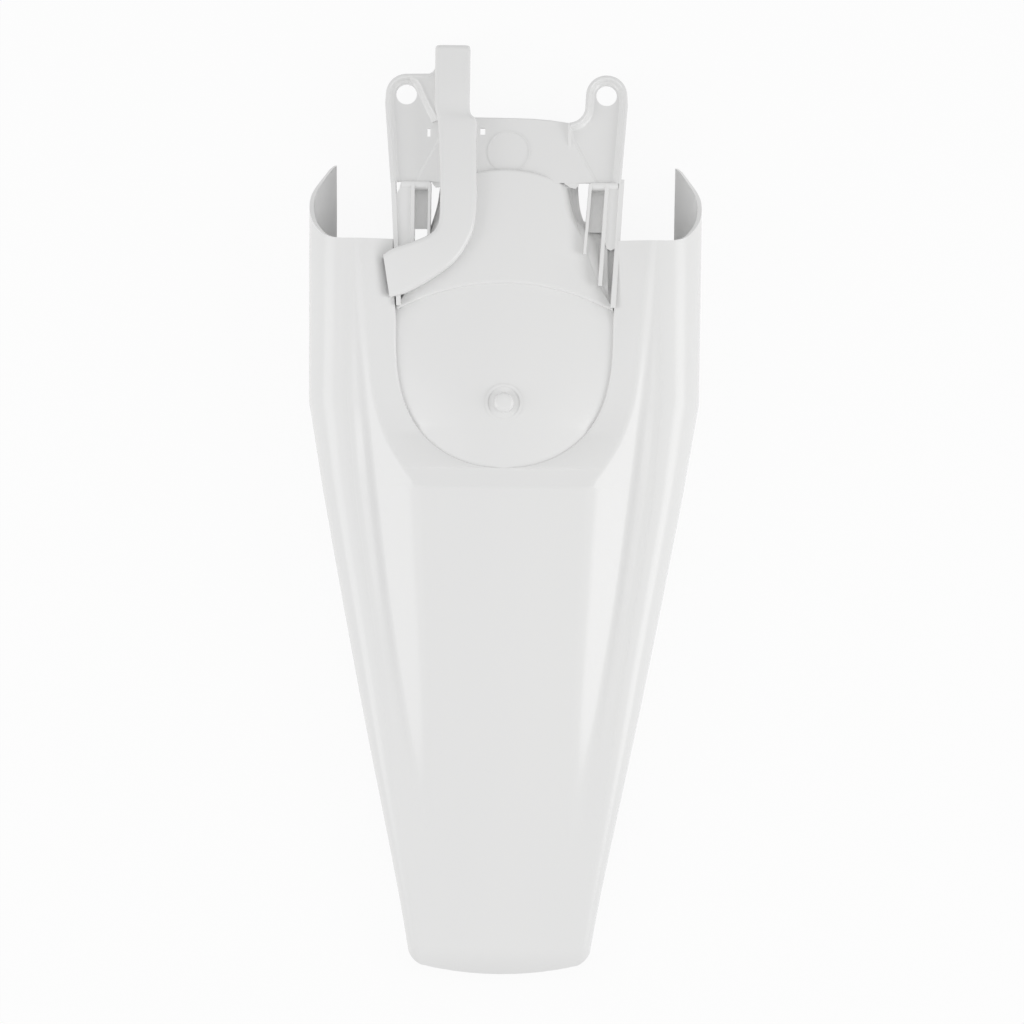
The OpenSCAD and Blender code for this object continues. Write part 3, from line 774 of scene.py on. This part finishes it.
# ---------------------------------------------------------------- finish
class Graph:
    """Node tree of a material or world, with one method that adds any node."""

    def __init__(self, tree):
        self.tree = tree
        tree.nodes.clear()

    def node(self, kind, settings=None, **sockets):
        """Adds a node: its settings first, then its sockets, named with _ for a space, or by
        number as i0, i1 and so on."""
        made = self.tree.nodes.new(kind)
        for name, value in (settings or {}).items():
            setattr(made, name, value)
        for name, value in sockets.items():
            key = int(name[1:]) if name[0] == "i" and name[1:].isdigit() else name.replace("_", " ")
            socket = made.inputs[key]
            if isinstance(value, Value):
                self.tree.links.new(value.socket, socket)
            else:
                socket.default_value = value
        return made


class Value:
    """A number socket that can be written in Python sums."""

    def __init__(self, graph, socket):
        self.graph, self.socket = graph, socket

    def math(self, how, a, b):
        made = self.graph.node("ShaderNodeMath", {"operation": how}, i0=a, i1=b)
        return Value(self.graph, made.outputs[0])

    def __add__(self, other):
        return self.math("ADD", self, other)

    def __sub__(self, other):
        return self.math("SUBTRACT", self, other)

    def __mul__(self, other):
        return self.math("MULTIPLY", self, other)

    def __rsub__(self, other):
        return self.math("SUBTRACT", other, self)

    __radd__ = __add__
    __rmul__ = __mul__

    def largest(self, other):
        return self.math("MAXIMUM", self, other)


def noise(g, place, scale, detail=2.0, rough=0.5):
    """Noise on the piece's own coordinates, centred on 0."""
    made = g.node("ShaderNodeTexNoise", {"noise_dimensions": "3D"}, Vector=place, Scale=scale,
                  Detail=detail, Roughness=rough)
    return Value(g, made.outputs[0]) - 0.5


def white_plastic(name):
    """Injection-moulded polypropylene: satin, with faint flow marks in its colour, a fine
    grain from the mould, and slightly uneven gloss where it has been handled."""
    material = bpy.data.materials.new(name)
    material.use_nodes = True
    g = Graph(material.node_tree)
    place = Value(g, g.node("ShaderNodeTexCoord").outputs["Object"])
    stretched = g.node("ShaderNodeMapping", {"vector_type": "POINT"}, Vector=place,
                       Scale=(1.0, 0.22, 1.0))
    flow = noise(g, Value(g, stretched.outputs[0]), 14.0, 3.0, 0.55)
    cloud = noise(g, place, 5.0, 2.0)
    grain = noise(g, place, 2600.0, 2.0, 0.6)
    wave = noise(g, place, 34.0, 2.0)
    shade = 0.5 + flow * 0.9 + cloud * 0.5
    tint = g.node("ShaderNodeMix", {"data_type": "RGBA", "blend_type": "MIX"}, i0=shade,
                  i6=(0.845, 0.846, 0.846, 1), i7=(0.872, 0.871, 0.863, 1))
    rough = 0.24 + cloud * 0.08 + grain * 0.04
    bump = g.node("ShaderNodeBump", None, Strength=0.35, Distance=0.0002,
                  Height=grain * 0.16 + wave * 0.9)
    satin = g.node("ShaderNodeBsdfPrincipled", None, Base_Color=Value(g, tint.outputs[2]),
                   Roughness=rough, Normal=Value(g, bump.outputs[0]), IOR=1.49)
    g.node("ShaderNodeOutputMaterial", None, Surface=Value(g, satin.outputs[0]))
    return material


plastic = white_plastic("moulded_white_plastic")
for piece in (shell, bracket):
    piece.data.materials.append(plastic)


# ---------------------------------------------------------------- floor, light and camera
def background_share(g):
    """1 for rays that should see the plain background: camera, glossy and transmission."""
    path = g.node("ShaderNodeLightPath")
    seen = [Value(g, path.outputs[n]) for n in ("Is Camera Ray", "Is Glossy Ray", "Is Transmission Ray")]
    return seen[0].largest(seen[1]).largest(seen[2])


FLOOR_Z = packed_box[0][2]
MID = Vector((0.0, (packed_box[0][1] + packed_box[1][1]) / 2, FLOOR_Z))
LAMP_AWAY = 1.8         # metres from the fender to the middle of each lamp
LAMP_BACK = -0.25       # metres from its middle, towards the tail
LAMP_LONG = 0.9
VIEW_MM = 683.0         # the square that the picture shows at the ear seats
CAMERA_HEIGHT = 3.0
SENSOR_MM = 36.0


def floor():
    """Wide matt floor, as white as the background where the camera sees it, with the
    fender's shadow."""
    mesh = bpy.data.meshes.new("floor")
    r = 4.0
    mesh.from_pydata([(-r, MID.y - r, FLOOR_Z), (r, MID.y - r, FLOOR_Z), (r, MID.y + r, FLOOR_Z),
                      (-r, MID.y + r, FLOOR_Z)], [], [(0, 1, 2, 3)])
    ground = bpy.data.objects.new("floor", mesh)
    bpy.context.scene.collection.objects.link(ground)
    material = bpy.data.materials.new("white_floor")
    material.use_nodes = True
    g = Graph(material.node_tree)
    matt = g.node("ShaderNodeBsdfDiffuse", None, Color=(0.82, 0.82, 0.82, 1))
    glow = g.node("ShaderNodeEmission", None, Color=(1, 1, 1, 1), Strength=1.0)
    both = g.node("ShaderNodeMixShader", None, i0=background_share(g) * 0.92,
                  i1=Value(g, matt.outputs[0]), i2=Value(g, glow.outputs[0]))
    g.node("ShaderNodeOutputMaterial", None, Surface=Value(g, both.outputs[0]))
    mesh.materials.append(material)


def studio_world(ambient):
    """Even white light from all round, with a plain white background for the camera."""
    world = bpy.data.worlds.new("studio")
    bpy.context.scene.world = world
    world.use_nodes = True
    g = Graph(world.node_tree)
    soft = g.node("ShaderNodeBackground", None, Color=(1, 1, 1, 1), Strength=ambient)
    plain = g.node("ShaderNodeBackground", None, Color=(1, 1, 1, 1), Strength=1.0)
    both = g.node("ShaderNodeMixShader", None, i0=background_share(g), i1=Value(g, soft.outputs[0]),
                  i2=Value(g, plain.outputs[0]))
    g.node("ShaderNodeOutputWorld", None, Surface=Value(g, both.outputs[0]))


def soft_box(name, place, target, size, power):
    """Rectangular lamp at a place, turned to its target."""
    lamp = bpy.data.lights.new(name, "AREA")
    lamp.shape, lamp.size, lamp.size_y, lamp.energy = "RECTANGLE", size[0], size[1], power
    made = bpy.data.objects.new(name, lamp)
    made.location = place
    made.rotation_euler = (Vector(target) - Vector(place)).to_track_quat("-Z", "Y").to_euler()
    bpy.context.scene.collection.objects.link(made)


def side_box(name, side, off_top, half_angle, radiance):
    """Soft box on one side (-1 left, 1 right), its middle off_top degrees away from straight
    up, covering half_angle degrees to either side of that."""
    a = np.radians(off_top)
    place = (side * LAMP_AWAY * np.sin(a), MID.y + LAMP_BACK, FLOOR_Z + LAMP_AWAY * np.cos(a))
    tall = 2 * LAMP_AWAY * np.tan(np.radians(half_angle))
    soft_box(name, place, MID, (tall, LAMP_LONG), radiance * np.pi * tall * LAMP_LONG)


def camera_above():
    """Camera straight over the fender, looking down, turned by half a degree."""
    data = bpy.data.cameras.new("camera")
    camera = bpy.data.objects.new("camera", data)
    bpy.context.scene.collection.objects.link(camera)
    data.sensor_width = SENSOR_MM
    data.lens = SENSOR_MM * CAMERA_HEIGHT / (VIEW_MM * MM)
    data.clip_end = 20.0
    camera.location = (0.006, -0.278, CAMERA_HEIGHT)
    camera.rotation_euler = (0.0, 0.0, np.radians(0.5))
    bpy.context.scene.camera = camera


floor()
studio_world(0.635)
side_box("right_low_box", 1, 61, 18, 2.55)
side_box("left_low_box", -1, 61, 18, 1.95)
side_box("left_high_box", -1, 36, 14, 0.6)
side_box("right_high_box", 1, 36, 14, 0.25)
camera_above()
bpy.context.scene.view_settings.view_transform = "Standard"
